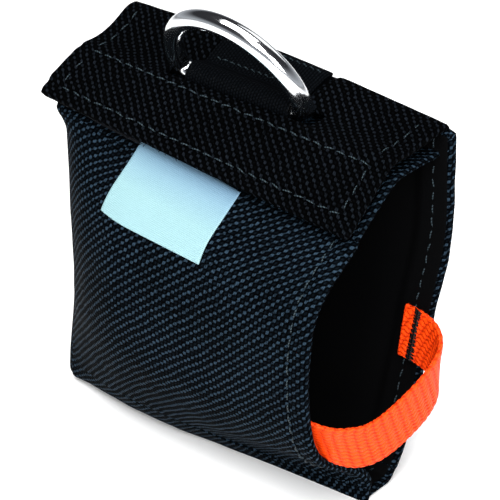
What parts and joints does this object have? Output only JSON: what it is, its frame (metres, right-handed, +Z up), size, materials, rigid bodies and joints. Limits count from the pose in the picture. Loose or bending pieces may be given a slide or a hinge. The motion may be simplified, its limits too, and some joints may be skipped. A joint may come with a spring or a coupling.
{
  "type": "tape measure tether pouch",
  "caption": "Soft nylon pouch that holds a pocket tape measure: front flap on hook and loop, steel D-ring for a tether, webbing strap over the open end.",
  "frame": {"origin": "on the flat bottom, under the middle of the ring and a little in front of the flat's middle", "axes": "+X towards the open end with the orange strap, +Y towards the back, +Z up"},
  "size_m": [0.1031, 0.0499, 0.1101],
  "materials": {
    "black_nylon": "coarse woven ballistic nylon, slightly glossy",
    "black_webbing": "fine ribbed webbing",
    "thread": "bonded polyester thread",
    "hook_and_loop": "fuzzy hook-and-loop tape",
    "label_satin": "bare satin ribbon",
    "orange_webbing": "ribbed webbing",
    "chrome_steel": "polished"
  },
  "bodies": {
    "pouch": {"front_panel": "black_nylon", "back_panel": "black_nylon", "bottom_panel": "black_nylon", "left_side_wall": "black_nylon", "inner_tongue": "black_nylon", "loop_tape": "hook_and_loop", "label": "label_satin", "retaining_strap": "orange_webbing", "strap_front_bartack": "thread", "strap_back_bartack": "thread", "front_edge_stitching": "thread", "back_edge_stitching": "thread", "bottom_edge_stitching": "thread", "tongue_stitching": "thread", "side_wall_stitching": "thread"},
    "flap": {"top_flap": "black_nylon", "hook_tape": "hook_and_loop", "flap_stitching": "thread", "flap_side_stitching": "thread", "ring_keeper": "black_webbing", "keeper_stitching": "thread"},
    "ring": {"d_ring": "chrome_steel"}
  },
  "joints": [
    {"name": "flap_hinge", "type": "hinge", "parent": "pouch", "child": "flap", "pos_m": [0, 0.0212, 0.0872], "axis": [-1, 0, 0], "range_deg": [0, 150]},
    {"name": "ring_pivot", "type": "hinge", "parent": "flap", "child": "ring", "pos_m": [0, 0.0065, 0.088], "axis": [1, 0, 0], "range_deg": [-65, 18]}
  ]
}
